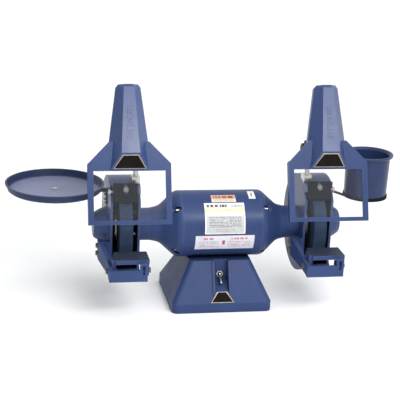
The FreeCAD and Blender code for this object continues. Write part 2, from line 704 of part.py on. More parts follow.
# ---------------------------------------------------------------- tool rests
def ribbon(name, sections):
    """A solid drawn straight from each rectangle to the next: (y, x low, x high, z low, z high)."""
    wires = []
    for y, left, right, low, high in sections:
        corners = [(left, low), (right, low), (right, high), (left, high)]
        points = [FreeCAD.Vector(size(x).value, size(y).value, size(z).value) for x, z in corners]
        wires.append(Part.makePolygon(points + points[:1]))
    solid = doc.addObject("Part::Feature", name)
    solid.Shape = Part.makeLoft(wires, True, True)
    return solid


def rest_group():
    bolts = []
    for label, station in (("left", -D.station_x), ("right", D.station_x)):
        ear_left = D.table_left - 9
        front = D.table_front - 18
        arm = ribbon(f"{label}_arm", [
            (-50, ear_left - 25, ear_left - 13, 134, 180), (-72, ear_left - 25, ear_left - 13, 134, 180),
            (-130, ear_left - 8, ear_left, 117, 148),
            (front, ear_left - 8, ear_left, D.rest_low, D.rest_high)])
        pad = box("arm_pad", (ear_left - 14, -(D.guard_half + 1)), (-72, -50), (136, 178))
        cross = box("cross_plate", (ear_left - 8, 34), (front, front + 8), (D.rest_low, D.rest_high))
        lug = box("bolt_lug", (32, D.table_right - 6.3), (front, -130), (D.rest_low + 6, D.rest_high - 1))
        tab_right = D.table_right - 6.3
        tab = box("front_tab", (tab_right - 19, tab_right), (front, front + 4.6),
                  (D.rest_low, D.table_top - 3))
        slot_high = D.table_top - 12
        tab_slot = box("tab_slot", (tab_right - 13, tab_right - 6), (front - 5, front + 4.6),
                       (slot_high - 16, slot_high))
        slot_ends = [rod("tab_slot_end", 3.5, 9.6, tab_right - 9.5, front - 5, z, "Y")
                     for z in (slot_high - 16, slot_high)]
        bolt = rod("rest_thread", D.rest_bolt_radius, 16, D.table_right - 20, D.rest_bolt_y,
                   D.rest_bolt_height, "X")
        passage = rod("arm_passage", D.rest_bolt_radius, 30, ear_left - 20, D.rest_bolt_y,
                      D.rest_bolt_height, "X")
        seats = [rod("arm_screw_hole", 3.2, 40, ear_left - 30, -61, z, "X") for z in (147, 167)]
        bracket = cut(f"{label}_bracket", fuse(f"{label}_bracket_full", arm, pad, cross, lug, tab),
                      bolt, passage, tab_slot, *slot_ends, *seats)
        bracket.Label = f"{label}_rest_bracket"
        nodes.append(place(bracket, x=station))

        low_ear = D.rest_bolt_height - 10
        top = box("table_top_plate", (D.table_left, D.table_right), (D.table_front, D.table_back),
                  (D.table_top - D.table_thick, D.table_top))
        lip = box("table_lip", (D.table_left, D.table_right), (D.table_front, D.table_front + 6),
                  (D.table_top - 11, D.table_top))
        ears = [box("left_ear", (ear_left + D.slip, D.table_left + 1), (-153, -119), (low_ear, D.table_top)),
                box("right_ear", (D.table_right - 6, D.table_right), (-153, -119), (low_ear, D.table_top))]
        slots = []
        for start in (ear_left - 2, D.table_right - 8):
            slots.append(box("ear_slot", (start, start + 14), (-149, -125),
                             (D.rest_bolt_height - 4.3, D.rest_bolt_height + 4.3)))
        table = cut(f"{label}_table", fuse(f"{label}_table_full", top, lip, *ears), *slots)
        table.Label = f"{label}_rest_table"
        nodes.append(place(table, x=station))

        shank = rod("rest_shank", D.rest_bolt_radius, 19.5, station + ear_left - 8, D.rest_bolt_y,
                    D.rest_bolt_height, "X")
        head = hexagon("rest_head", 13, 5, station + ear_left - 13, D.rest_bolt_y, D.rest_bolt_height)
        nut = hexagon("rest_nut", 13, 3, station + D.table_left + 1.3, D.rest_bolt_y, D.rest_bolt_height)
        bolts.append(fuse("rest_bolt", shank, head, nut))
        right_head = hexagon("rest_head", 13, 5, station + D.table_right + 0.3, D.rest_bolt_y,
                             D.rest_bolt_height)
        right_shank = rod("rest_shank", D.rest_bolt_radius, 16.3, station + D.table_right - 16,
                          D.rest_bolt_y, D.rest_bolt_height, "X")
        bolts.append(fuse("rest_bolt", right_shank, right_head))
        for z in (147, 167):
            start = station + ear_left - 25
            bolts.append(fuse("arm_screw", rod("arm_screw_shank", 3.2, 24, start, -61, z, "X"),
                              hexagon("arm_screw_head", 11, 5, start - 5, -61, z)))
    keep(group("rest_bolts", *bolts), "rest_bolts")


# ---------------------------------------------------------------- eye shields
def on_shield(thing, x=0, y=0, z=0, angle=0):
    """Put an object given in the shield's own upright frame onto the leaning shield."""
    lean = FreeCAD.Rotation(FreeCAD.Vector(1, 0, 0), -D.shield_tilt.value)
    seat = FreeCAD.Placement(FreeCAD.Vector(D.station_x.value, D.shield_y.value, D.shield_low.value), lean)
    local = FreeCAD.Placement(FreeCAD.Vector(*[size(v).value for v in (x, y, z)]),
                              FreeCAD.Rotation(FreeCAD.Vector(1, 0, 0), angle))
    for letter in "xyz":
        thing.setExpression(f"Placement.Base.{letter}", None)
    thing.Placement = seat.multiply(local).multiply(thing.Placement)
    return thing


def hood_solid(name, inset, foot, head):
    """The lamp hood's tapered form between two levels, shrunk by an inset."""
    wires = []
    levels = [foot] + [section[0] for section in HOOD_SECTIONS[1:-1]] + [head]
    for level, section in zip(levels, HOOD_SECTIONS):
        front_half, front, side_half, side, back_half, back = section[1:]
        right = [(front_half - inset * 0.8, front + inset), (side_half - inset, side),
                 (back_half - inset, back - inset)]
        points = right + [(-x, y) for x, y in reversed(right)]
        points = [FreeCAD.Vector(x, y, level) for x, y in points]
        wires.append(Part.makePolygon(points + points[:1]))
    solid = doc.addObject("Part::Feature", name)
    solid.Shape = Part.makeLoft(wires, True, True)
    return solid


# level, then half width and depth of the front face, of the widest line and of the back face
HOOD_SECTIONS = (
    (130, 46, -6, 54, 14, 54, 30),
    (169, 22, -32, 51, 12, 50, 30),
    (327, 12.5, -18.5, 30, 2.5, 29, 19),
    (334, 8, -13, 24, 0, 23, 13),
)
HOOD_FOOT = HOOD_SECTIONS[0][0]
HOOD_HEAD = HOOD_SECTIONS[-1][0]


def pivot_on_shield():
    """The tilt pivot's place in the shield's own frame."""
    lean = math.radians(D.shield_tilt.value)
    ahead = D.pivot_y.value - D.shield_y.value
    above = D.pivot_height.value - D.shield_low.value
    return (ahead * math.cos(lean) - above * math.sin(lean), ahead * math.sin(lean) + above * math.cos(lean))


def shield_group():
    back, level = pivot_on_shield()
    half = D.frame_half
    face = plate("frame_face", "XZ_Plane", [
        (-half, 0), (half, 0), (half, D.frame_side), (D.frame_neck, D.frame_shoulder),
        (-D.frame_neck, D.frame_shoulder), (-half, D.frame_side)], D.frame_lip)
    on_shield(face, y=D.frame_lip - D.frame_thick / 2)
    inside = box("frame_inside", (-(half - 4), half - 4), (D.frame_thick / 2, D.frame_lip + 5), (4, 260))
    window = box("frame_window", (-D.window_half, D.window_half), (-20, 20), (D.window_low, D.window_high))
    for tool in (inside, window):
        on_shield(tool)
    outer = on_shield(hood_solid("hood_outer", 0, HOOD_FOOT, HOOD_HEAD))
    pair(cut("shield_frame", face, inside, window, outer), "shield_frame")
    pane = box("pane_sheet", (-94, 94), (D.frame_thick / 2, D.frame_thick / 2 + 3), (5, 128.5))
    pair(on_shield(pane), "shield_window")

    inner = on_shield(hood_solid("hood_inner", D.hood_wall.value, HOOD_FOOT - 1, HOOD_HEAD - 3))
    ear = plate("hood_ear", "YZ_Plane", [
        (28.5, 167), (back - 4, level - 11), (back + 6, level - 9), (back + 10, level),
        (back + 6, level + 9), (back - 4, level + 12), (26.5, 205)], 5.7)
    on_shield(place(ear, x=-16.7))
    eye = rod("ear_eye", D.pivot_radius + D.running_gap, 60, D.station_x - 40, D.pivot_y, D.pivot_height, "X")
    seat_top = HOOD_HEAD - 3
    socket = on_shield(rod("socket_shell", 13, 40, 0, 0, seat_top - 52))
    stem = on_shield(rod("socket_stem", 5, 12, 0, 0, seat_top - 12))
    cavity = on_shield(rod("socket_cavity", 11.2, 30, 0, 0, seat_top - 53))
    pair(cut("lamp_hood", fuse("hood_with_ear", cut("hood_shell", outer, inner), ear), eye), "lamp_hood")
    pair(cut("lamp_socket", fuse("socket_full", socket, stem), cavity), "lamp_socket")
    bulb = turned("bulb", [(0, 0), (9, 2), (16, 8), (19, 18), (17, 30), (11, 44), (11, 68), (0, 68)], "Z")
    pair(on_shield(place(bulb), z=HOOD_HEAD - 100), "lamp_bulb")

    near = D.station_x - D.arm_offset - 10
    foot = box("arm_foot_block", (near, near + 20), (D.arm_y - 10, D.arm_y + 18), (295, 336))
    dome = rod("arm_foot_seat", D.guard_radius, 60, near - 20, 0, D.shaft_height, "X")
    stem = rod("arm_stem", D.arm_radius, D.arm_top - 312, near + 10, D.arm_y, 312)
    pair(fuse("shield_arm", cut("arm_foot", foot, dome), cut("arm_stem_net", stem, dome)), "shield_arm")

    clamp = box("clamp_block", (near, near + 20), (D.pivot_y - 11, D.arm_y + 11),
                (D.pivot_height - 12, D.pivot_height + 12))
    rod_hole = rod("clamp_rod_hole", D.arm_radius, 60, near + 10, D.arm_y, D.pivot_height - 30)
    bolt_hole = rod("clamp_bolt_hole", D.pivot_radius, 60, near - 20, D.pivot_y, D.pivot_height, "X")
    pair(cut("shield_clamp", clamp, rod_hole, bolt_hole), "shield_clamp")

    bolts = []
    for side in (-1, 1):
        start = near - 12 if side > 0 else -(near + 30)
        shank = rod("pivot_shank", D.pivot_radius, 42, start, D.pivot_y, D.pivot_height, "X")
        nut = near + 26 + D.slip
        nut_start = nut if side > 0 else -(nut + 4)
        bolts.append(fuse("pivot_bolt", shank, rod("pivot_nut", 7, 4, nut_start, D.pivot_y,
                                                   D.pivot_height, "X")))
    keep(group("shield_pivot_bolts", *bolts), "shield_pivot_bolts")
    knob = turned("knob", [(-16, 0), (-16, 12), (-13, 14), (-5, 14), (-3, 9), (-D.slip, 9),
                           (-D.slip, D.pivot_radius + D.running_gap), (-12.5, D.pivot_radius + D.running_gap),
                           (-12.5, 0)])
    pair(place(knob, near, D.pivot_y, D.pivot_height), "shield_knob")


# ---------------------------------------------------------------- tray and pot
def tray_group():
    reach = D.tray_radius
    tray = turned("tray", [(0, 0), (reach - 11, 0), (reach - 6, 4), (reach - 3, 16), (reach, 17),
                           (reach, 19.5), (reach - 4.5, 19.5), (reach - 8, 5), (reach - 12, 2), (0, 2)], "Z")
    place(tray, D.tray_x, D.tray_y, D.tray_level)
    keep(cut("tool_tray", tray, rod("tray_hole", 2.5, 20, D.tray_x, D.tray_y, D.tray_level - 5)), "tool_tray")
    face = D.station_x + D.guard_half + 1
    thick = D.strap_thick
    top = D.tray_level
    strap = plate("tray_strap", "XZ_Plane", [
        (-face, D.bracket_foot), (-face, top), (D.tray_x - 18, top), (D.tray_x - 18, top - thick),
        (-face - thick, top - thick), (-face - thick, D.bracket_foot)], 26)
    place(strap, y=D.tray_y + 13)
    holes = [rod("strap_hole", 2.5, 20, -face - 10, D.tray_y, z, "X") for z in BRACKET_SCREWS]
    holes.append(rod("strap_tray_hole", 2.5, 20, D.tray_x, D.tray_y, top - 10))
    keep(cut("tray_bracket", strap, *holes), "tray_bracket")


def tray_screw():
    """The screw and nut that hold the tray down on its strap."""
    head = rod("tray_screw_head", 6, 2.5, D.tray_x, D.tray_y, D.tray_level + 2)
    shank = rod("tray_screw_shank", 2.5, 12, D.tray_x, D.tray_y, D.tray_level - 10)
    nut = hexagon("tray_screw_nut", 9, 4, D.tray_x, D.tray_y, D.tray_level - D.strap_thick - 4, "Z")
    return fuse("tray_screw", head, shank, nut)


def pot_group():
    tall = D.pot_height
    rim = D.pot_rim
    pot = turned("pot", [
        (0, 0), (rim - 13, 0), (rim - 10, 3), (rim - 8, tall - 9), (rim - 2, tall - 7), (rim, tall - 4),
        (rim - 1, tall - 0.5), (rim - 4, tall), (rim - 10.5, tall - 6), (rim - 13, 4), (rim - 15, 3), (0, 3)],
                 "Z")
    keep(place(pot, D.pot_x, D.pot_y, D.pot_level), "water_pot")
    face = D.station_x + D.guard_half + 1
    ring_top = D.pot_level - D.slip
    ring = rod("holder_ring", rim - 7.5, 4, D.pot_x, D.pot_y, ring_top - 4)
    lip = cut("holder_lip", rod("holder_lip_outer", rim - 7.5, 4, D.pot_x, D.pot_y, ring_top),
              rod("holder_lip_inner", rim - 9.5, 30, D.pot_x, D.pot_y, ring_top - 10))
    leg = plate("holder_leg", "XZ_Plane", [
        (face, D.bracket_foot), (face + 3, D.bracket_foot), (face + 3, 281),
        (D.pot_x - rim + 12, ring_top - 4),
        (D.pot_x - rim + 12, ring_top), (face + 4, 285), (face, 285)], 16)
    place(leg, y=D.tray_y + 8)
    holes = [rod("leg_hole", 2.5, 20, face - 10, D.tray_y, z, "X") for z in BRACKET_SCREWS]
    middle = rod("holder_hole", rim - 22, 30, D.pot_x, D.pot_y, ring_top - 20)
    spike = rod("holder_spike", 2, 24, face + 20, D.tray_y, 277)
    keep(cut("pot_holder", fuse("holder_full", ring, lip, leg, spike), middle, *holes), "pot_holder")


# ---------------------------------------------------------------- build, check and write
base_group()
switch_group()
motor_bolt_group()
motor_group()
arbor_group()
guard_group()
spark_group()
rest_group()
shield_group()
tray_group()
pot_group()
doc.recompute()

for thing in doc.Objects:
    if "Invalid" in thing.State or "Error" in thing.State:
        raise RuntimeError(f"{thing.Label} failed to build")
for node in nodes:
    if node.Shape.isNull() or not node.Shape.isValid():
        raise RuntimeError(f"{node.Label} has no sound shape")
for node in nodes:
    node.Shape.exportStep(f"parts/{node.Label}.step")
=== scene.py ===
import math

import bmesh
import bpy
from mathutils import Matrix, Quaternion, Vector


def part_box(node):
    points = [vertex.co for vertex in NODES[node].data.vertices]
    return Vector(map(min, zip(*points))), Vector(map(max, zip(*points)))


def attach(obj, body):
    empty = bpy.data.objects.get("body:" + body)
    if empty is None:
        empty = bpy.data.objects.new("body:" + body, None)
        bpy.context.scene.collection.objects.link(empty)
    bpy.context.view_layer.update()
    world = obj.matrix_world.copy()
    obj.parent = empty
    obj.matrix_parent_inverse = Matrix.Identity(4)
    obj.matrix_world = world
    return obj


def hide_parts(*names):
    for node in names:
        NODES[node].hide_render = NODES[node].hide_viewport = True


# Twin-wheel bench grinder: looks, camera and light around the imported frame. Metres throughout.
# +X along the arbor, the operator stands at -Y, +Z up.

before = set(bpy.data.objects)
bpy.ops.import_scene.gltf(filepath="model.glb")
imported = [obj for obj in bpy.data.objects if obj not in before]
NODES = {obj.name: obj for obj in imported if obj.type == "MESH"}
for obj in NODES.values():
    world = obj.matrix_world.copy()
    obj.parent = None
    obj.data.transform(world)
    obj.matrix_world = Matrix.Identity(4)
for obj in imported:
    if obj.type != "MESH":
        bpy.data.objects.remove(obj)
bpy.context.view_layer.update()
SIDES = ("left", "right")
MM = 0.001


# ---------------------------------------------------------------- places taken from the frame
SHAFT_LOW, SHAFT_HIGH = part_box("arbor_shaft")
SHAFT_Z = (SHAFT_LOW.z + SHAFT_HIGH.z) / 2
BARREL_LOW, BARREL_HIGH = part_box("motor_barrel")
BARREL_RADIUS = (BARREL_HIGH.z - BARREL_LOW.z) / 2

# The base: the height of its upright skirt, and how far its front runs in over how much height.
BASE_SKIRT = 24 * MM
BASE_RUN, BASE_RISE = 47 * MM, 98 * MM

# The shield, in its own upright frame: its lean, its pane, the panel that runs in under the hood's front, and
# the hood's middle face. A run is how far a face leans over its rise.
SHIELD_LEAN = math.radians(20)
PANE_FRONT, PANE_BACK, PANE_FOOT = 2.5 * MM, 5.5 * MM, 5 * MM
PANEL_FOOT = Vector((0, -6 * MM, 130 * MM))
PANEL_RUN, PANEL_RISE = 26 * MM, 39 * MM
HOOD_FACE_FOOT = Vector((0, -32 * MM, 169 * MM))
HOOD_FACE_RUN, HOOD_FACE_RISE = 13.5 * MM, 158 * MM


def shield_place(side):
    """The shield's own upright frame: its foot in the middle, leaning back with the shield."""
    low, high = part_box(f"{side}_shield_window")
    lean = Matrix.Rotation(-SHIELD_LEAN, 4, "X")
    foot_front = lean @ Vector((0, PANE_FRONT, PANE_FOOT))
    foot_back = lean @ Vector((0, PANE_BACK, PANE_FOOT))
    spot = Vector(((low.x + high.x) / 2, low.y - foot_front.y, low.z - foot_back.z))
    return Matrix.Translation(spot) @ lean


# ---------------------------------------------------------------- materials
class Finish:
    """One procedural material, with short ways to wire its nodes, in the object's own coordinates."""

    def __init__(self, name, metal=0.0, coat=0.0, shine=0.5):
        self.material = bpy.data.materials.new(name)
        self.material.use_nodes = True
        self.tree = self.material.node_tree
        self.shader = self.tree.nodes["Principled BSDF"]
        self.shader.inputs["Metallic"].default_value = metal
        self.shader.inputs["Coat Weight"].default_value = coat
        self.shader.inputs["Specular IOR Level"].default_value = shine
        self.shader.inputs["Coat Roughness"].default_value = 0.12
        self.where = self.node("TexCoord").outputs["Object"]
        self.surface = None
        self.drift = None

    def node(self, kind, values=None, **settings):
        made = self.tree.nodes.new("ShaderNode" + kind)
        for key, value in settings.items():
            setattr(made, key, value)
        for socket, value in (values or {}).items():
            if isinstance(value, bpy.types.NodeSocket):
                self.tree.links.new(value, made.inputs[socket])
            else:
                made.inputs[socket].default_value = value
        return made

    def noise(self, scale, detail=3.0, rough=0.5, where=None):
        values = {"Vector": where or self.where, "Scale": scale, "Detail": detail, "Roughness": rough}
        return self.node("TexNoise", values).outputs["Fac"]

    def stretched(self, scale):
        return self.node("Mapping", {"Vector": self.where, "Scale": scale}).outputs["Vector"]

    def math(self, operation, a, b=0.0):
        return self.node("Math", {0: a, 1: b}, operation=operation).outputs[0]

    def times(self, a, b):
        return self.math("MULTIPLY", a, b)

    def length(self, a, b):
        """The distance from a line, given the two offsets across it."""
        return self.math("SQRT", self.math("ADD", self.times(a, a), self.times(b, b)))

    def span(self, value, low, high, to_low=0.0, to_high=1.0):
        """The value carried from one range to another and held at its ends."""
        values = {"Value": value, "From Min": low, "From Max": high, "To Min": to_low, "To Max": to_high}
        return self.node("MapRange", values, clamp=True).outputs["Result"]

    def mix(self, share, a, b):
        a, b = (tuple(c) + (1.0,) if isinstance(c, tuple) and len(c) == 3 else c for c in (a, b))
        return self.node("Mix", {0: share, 6: a, 7: b}, data_type="RGBA").outputs[2]

    def edges(self, radius):
        """1 along the edges within a radius, 0 on the flats."""
        rounded = self.node("Bevel", {"Radius": radius}, samples=6).outputs["Normal"]
        true = self.node("NewGeometry").outputs["Normal"]
        facing = self.node("VectorMath", {0: rounded, 1: true}, operation="DOT_PRODUCT").outputs["Value"]
        return self.span(facing, 0.99, 0.82)

    def corners(self, reach, dark=0.25, light=0.7):
        """1 deep in corners and gaps, 0 out in the open."""
        open_sky = self.node("AmbientOcclusion", {"Distance": reach}, samples=6).outputs["AO"]
        return self.span(open_sky, light, dark)

    def axes(self):
        split = self.node("SeparateXYZ", {"Vector": self.where})
        return split.outputs["X"], split.outputs["Y"], split.outputs["Z"]

    def bump(self, height, depth, strength=1.0):
        values = {"Height": height, "Distance": depth, "Strength": strength}
        if self.surface is not None:
            values["Normal"] = self.surface
        self.surface = self.node("Bump", values).outputs["Normal"]

    def done(self, colour, rough):
        self.tree.links.new(colour, self.shader.inputs["Base Color"])
        if isinstance(rough, bpy.types.NodeSocket):
            self.tree.links.new(rough, self.shader.inputs["Roughness"])
        else:
            self.shader.inputs["Roughness"].default_value = rough
        if self.surface is not None:
            self.tree.links.new(self.surface, self.shader.inputs["Normal"])
        return self.material


def shade(colour, factor):
    return tuple(c * factor for c in colour)


BLUE = (0.026, 0.048, 0.138)
PALE_BLUE = (0.1, 0.14, 0.29)
PAINTED_SHADE = (0.006, 0.008, 0.014)
PRIMER = (0.2, 0.2, 0.21)
BLACK = (0.005, 0.006, 0.008)
ZINC = (0.62, 0.61, 0.58)
STEEL = (0.5, 0.5, 0.51)


def painted(finish, colour, pale, cast):
    """The colour of sprayed enamel: a slow drift of tone, dust, paler edges that are a painted highlight, a
    few chips down to the primer, and painted shade darkening corners and gaps.
    """
    finish.drift = finish.noise(7.0, detail=4.0)
    tone = finish.mix(finish.span(finish.drift, 0.3, 0.7), shade(colour, 0.86), shade(colour, 1.12))
    dust = finish.span(finish.noise(38.0, detail=6.0, rough=0.65), 0.55, 0.85, 0.0, 0.16)
    tone = finish.mix(dust, tone, shade(pale, 0.9))
    edge = finish.edges(1.6 * MM)
    # Paler edges: a painted highlight along every edge.
    tone = finish.mix(finish.times(edge, 0.5), tone, pale)
    knocks = finish.span(finish.noise(95.0, detail=5.0, rough=0.7), 0.66, 0.7)
    chip = finish.times(edge, knocks)
    tone = finish.mix(finish.times(chip, 0.8), tone, PRIMER)
    peel = finish.noise(520.0, detail=2.0)
    finish.bump(peel, 0.02 * MM, 0.5)
    if cast:
        grain = finish.noise(210.0, detail=4.0, rough=0.6)
        finish.bump(grain, 0.16 * MM, 0.55)
        finish.bump(finish.noise(32.0, detail=2.0), 0.5 * MM, 0.35)
    finish.bump(finish.times(chip, -1.0), 0.1 * MM, 0.6)
    # Painted shade: corners and gaps are darkened by an ambient-occlusion mask.
    return finish.mix(finish.times(finish.corners(16 * MM), 0.85), tone, PAINTED_SHADE)


def enamel(name, cast, dull=1.0, shine=0.36, low=0.26, high=0.36):
    """Blue enamel. dull below 1 is a darker coat, and low and high are its roughness."""
    finish = Finish(name, shine=shine)
    tone = painted(finish, shade(BLUE, dull), shade(PALE_BLUE, dull), cast)
    smudge = finish.noise(16.0, detail=5.0, rough=0.6)
    return finish.done(tone, finish.span(smudge, 0.3, 0.75, low, high))


def rest_enamel():
    """Enamel with the table's upper face rubbed dark by work."""
    finish = Finish("rest_enamel", shine=0.25)
    tone = painted(finish, BLUE, PALE_BLUE, True)
    facing = finish.node("SeparateXYZ", {"Vector": finish.node("NewGeometry").outputs["Normal"]}).outputs["Z"]
    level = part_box("right_rest_table")[1].z - 3 * MM
    z = finish.axes()[2]
    top = finish.times(finish.span(facing, 0.8, 0.95), finish.math("GREATER_THAN", z, level))
    rubs = finish.noise(60.0, detail=6.0, rough=0.7, where=finish.stretched((1.0, 4.0, 1.0)))
    worn = finish.mix(finish.span(rubs, 0.35, 0.7), (0.012, 0.018, 0.036), (0.04, 0.05, 0.08))
    finish.bump(rubs, 0.03 * MM, 0.5)
    return finish.done(finish.mix(top, tone, worn), finish.span(rubs, 0.3, 0.7, 0.38, 0.55))


def guard_enamel():
    """Enamel outside, and a black bore inside: grinding dust together with painted shade."""
    finish = Finish("guard_enamel", shine=0.25)
    tone = painted(finish, BLUE, PALE_BLUE, True)
    x, y, z = finish.axes()
    across = finish.math("ABSOLUTE", x)
    up = finish.math("SUBTRACT", z, SHAFT_Z)
    low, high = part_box("right_guard_housing")
    wall = 5.6 * MM
    inside = finish.math("LESS_THAN", finish.length(y, up), (high.z - low.z) / 2 - wall)
    inside = finish.times(inside, finish.math("GREATER_THAN", across, low.x + wall))
    inside = finish.times(inside, finish.math("LESS_THAN", across, high.x + 0.4 * MM))
    grit = finish.span(finish.noise(420.0, detail=5.0, rough=0.7), 0.45, 0.8)
    # Near-black inside the guard: grinding dust and painted shade.
    sooty_and_shaded = finish.mix(grit, (0.006, 0.007, 0.01), (0.03, 0.033, 0.042))
    rough = finish.mix(inside, (0.36, 0.36, 0.36), (0.8, 0.8, 0.8))
    return finish.done(finish.mix(inside, tone, sooty_and_shaded), rough)


def tray_enamel():
    """Enamel whose dished floor is a pale lavender grey, a painted sky reflection, streaked by scratches."""
    finish = Finish("tray_enamel", shine=0.25)
    tone = painted(finish, shade(BLUE, 0.5), shade(PALE_BLUE, 0.7), False)
    low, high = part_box("tool_tray")
    x, y, z = finish.axes()
    east = finish.math("SUBTRACT", x, (low.x + high.x) / 2)
    north = finish.math("SUBTRACT", y, (low.y + high.y) / 2)
    radius = (high.x - low.x) / 2
    within = finish.span(finish.length(east, north), radius * 0.912, radius * 0.898)
    floor = finish.times(within, finish.span(z, low.z + 1.0 * MM, low.z + 1.8 * MM))
    scratches = finish.noise(40.0, detail=6.0, rough=0.7, where=finish.stretched((1.0, 9.0, 1.0)))
    # The rubbed colour is mostly a painted sky reflection: pale lavender grey, streaked by scratches.
    rubbed = finish.mix(finish.span(scratches, 0.35, 0.7), (0.12, 0.14, 0.23), (0.2, 0.22, 0.33))
    rubbed = finish.mix(finish.span(finish.drift, 0.35, 0.65, 0.0, 0.5), rubbed, (0.18, 0.18, 0.3))
    finish.bump(scratches, 0.03 * MM, 0.5)
    return finish.done(finish.mix(floor, tone, rubbed), finish.span(scratches, 0.3, 0.7, 0.34, 0.5))


def black_paint():
    finish = Finish("black_paint", shine=0.05)
    tone = painted(finish, BLACK, (0.04, 0.04, 0.045), False)
    return finish.done(tone, finish.span(finish.drift, 0.3, 0.7, 0.5, 0.62))


def metal(name, colour, low, high, brushed):
    """Plated or ground metal: fine lines one way, stains, and brighter edges that are a painted highlight."""
    finish = Finish(name, metal=1.0)
    lines = finish.noise(900.0, detail=3.0, where=finish.stretched(brushed))
    stain = finish.noise(60.0, detail=5.0, rough=0.65)
    tone = finish.mix(finish.span(stain, 0.35, 0.7), shade(colour, 0.72), shade(colour, 1.08))
    # Brighter edges: a painted highlight.
    tone = finish.mix(finish.times(finish.edges(0.5 * MM), 0.6), tone, shade(colour, 1.3))
    finish.bump(lines, 0.015 * MM, 0.6)
    ground = finish.span(lines, 0.3, 0.7, low, high)
    stained = finish.span(stain, 0.4, 0.8, 0.0, 0.12)
    return finish.done(tone, finish.math("ADD", ground, stained))


def laminations():
    """A stack of thin electrical steel sheets."""
    finish = Finish("laminations", metal=1.0)
    pitch = 1.0 * MM
    sheets = finish.math("SINE", finish.times(finish.axes()[0], math.tau / pitch))
    tone = finish.mix(finish.span(sheets, -0.6, 0.6), (0.12, 0.12, 0.13), (0.4, 0.4, 0.42))
    rust = finish.span(finish.noise(70.0, detail=6.0), 0.6, 0.8, 0.0, 0.5)
    tone = finish.mix(rust, tone, (0.2, 0.09, 0.04))
    finish.bump(sheets, 0.06 * MM, 0.8)
    return finish.done(tone, finish.span(sheets, -1.0, 1.0, 0.55, 0.4))


def windings():
    """Varnished copper wire laid side by side."""
    finish = Finish("windings", metal=0.6, coat=0.5)
    values = {"Vector": finish.where, "Scale": 260.0, "Distortion": 3.5, "Detail": 2.0, "Detail Scale": 1.2}
    turns = finish.node("TexWave", values, wave_type="RINGS", rings_direction="X").outputs["Fac"]
    tone = finish.mix(turns, (0.14, 0.04, 0.014), (0.62, 0.25, 0.09))
    varnish = finish.span(finish.noise(50.0, detail=4.0), 0.4, 0.7, 0.0, 0.4)
    tone = finish.mix(varnish, tone, (0.18, 0.06, 0.02))
    finish.bump(turns, 0.3 * MM, 0.8)
    return finish.done(tone, finish.span(varnish, 0.0, 0.4, 0.4, 0.25))


def grit():
    """Vitrified abrasive: grains of several greys in a dark blue-grey bond, with open pores."""
    finish = Finish("grit", shine=0.15)
    cells = finish.node("TexVoronoi", {"Vector": finish.where, "Scale": 900.0})
    shades = finish.node("RGBToBW", {"Color": cells.outputs["Color"]}).outputs["Val"]
    tone = finish.mix(shades, (0.006, 0.014, 0.034), (0.028, 0.048, 0.098))
    glint = finish.math("GREATER_THAN", finish.noise(1500.0, detail=1.0), 0.72)
    tone = finish.mix(finish.times(glint, 0.5), tone, (0.2, 0.24, 0.3))
    worn = finish.span(finish.noise(24.0, detail=4.0), 0.4, 0.7, 0.0, 0.35)
    tone = finish.mix(worn, tone, (0.035, 0.05, 0.09))
    finish.bump(cells.outputs["Distance"], 0.45 * MM, 0.8)
    finish.bump(finish.noise(300.0, detail=4.0), 0.3 * MM, 0.6)
    return finish.done(tone, finish.span(shades, 0.0, 1.0, 0.62, 0.9))


def blotter():
    finish = Finish("blotter")
    fibres = finish.noise(600.0, detail=5.0, rough=0.7, where=finish.stretched((1.0, 0.25, 1.0)))
    tone = finish.mix(finish.span(fibres, 0.35, 0.7), (0.36, 0.3, 0.2), (0.52, 0.46, 0.34))
    finish.bump(fibres, 0.05 * MM, 0.7)
    return finish.done(tone, finish.span(fibres, 0.3, 0.7, 0.8, 0.95))


def clear_sheet():
    """A clear window with a light haze, fine scratches and a few spark pits."""
    finish = Finish("clear_sheet")
    scratches = finish.noise(140.0, detail=6.0, rough=0.75, where=finish.stretched((1.0, 1.0, 14.0)))
    pits = finish.math("GREATER_THAN", finish.noise(700.0, detail=1.0), 0.76)
    tone = finish.mix(finish.times(pits, 0.6), (0.32, 0.34, 0.37), (0.2, 0.19, 0.18))
    finish.bump(scratches, 0.01 * MM, 0.3)
    haze = finish.span(scratches, 0.5, 0.8, 0.03, 0.07)
    alpha = finish.math("ADD", haze, finish.times(pits, 0.2))
    finish.tree.links.new(alpha, finish.shader.inputs["Alpha"])
    return finish.done(tone, finish.span(scratches, 0.4, 0.8, 0.05, 0.16))


def bulb_glass():
    finish = Finish("pearl_glass", coat=0.6)
    cloud = finish.noise(90.0, detail=3.0)
    tone = finish.mix(finish.span(cloud, 0.3, 0.7), (0.78, 0.77, 0.72), (0.9, 0.89, 0.86))
    finish.bump(cloud, 0.02 * MM, 0.3)
    return finish.done(tone, finish.span(cloud, 0.3, 0.7, 0.12, 0.24))


def moulded(name, colour, low, high, shine=0.25):
    """Moulded plastic or rubber: a spark-eroded grain, and paler edges that are a painted highlight."""
    finish = Finish(name, shine=shine)
    grain = finish.noise(700.0, detail=3.0)
    drift = finish.noise(45.0, detail=4.0)
    tone = finish.mix(finish.span(drift, 0.35, 0.7), colour, shade(colour, 1.7))
    # Paler edges: a painted highlight.
    tone = finish.mix(finish.times(finish.edges(0.7 * MM), 0.35), tone, shade(colour, 4.0))
    finish.bump(grain, 0.05 * MM, 0.6)
    return finish.done(tone, finish.span(drift, 0.3, 0.7, low, high))


def can():
    finish = Finish("drawn_can", metal=1.0)
    rings = finish.noise(420.0, detail=3.0, where=finish.stretched((6.0, 1.0, 1.0)))
    tone = finish.mix(finish.span(rings, 0.3, 0.7), (0.5, 0.5, 0.51), (0.72, 0.72, 0.73))
    finish.bump(rings, 0.03 * MM, 0.6)
    return finish.done(tone, finish.span(rings, 0.3, 0.7, 0.3, 0.45))


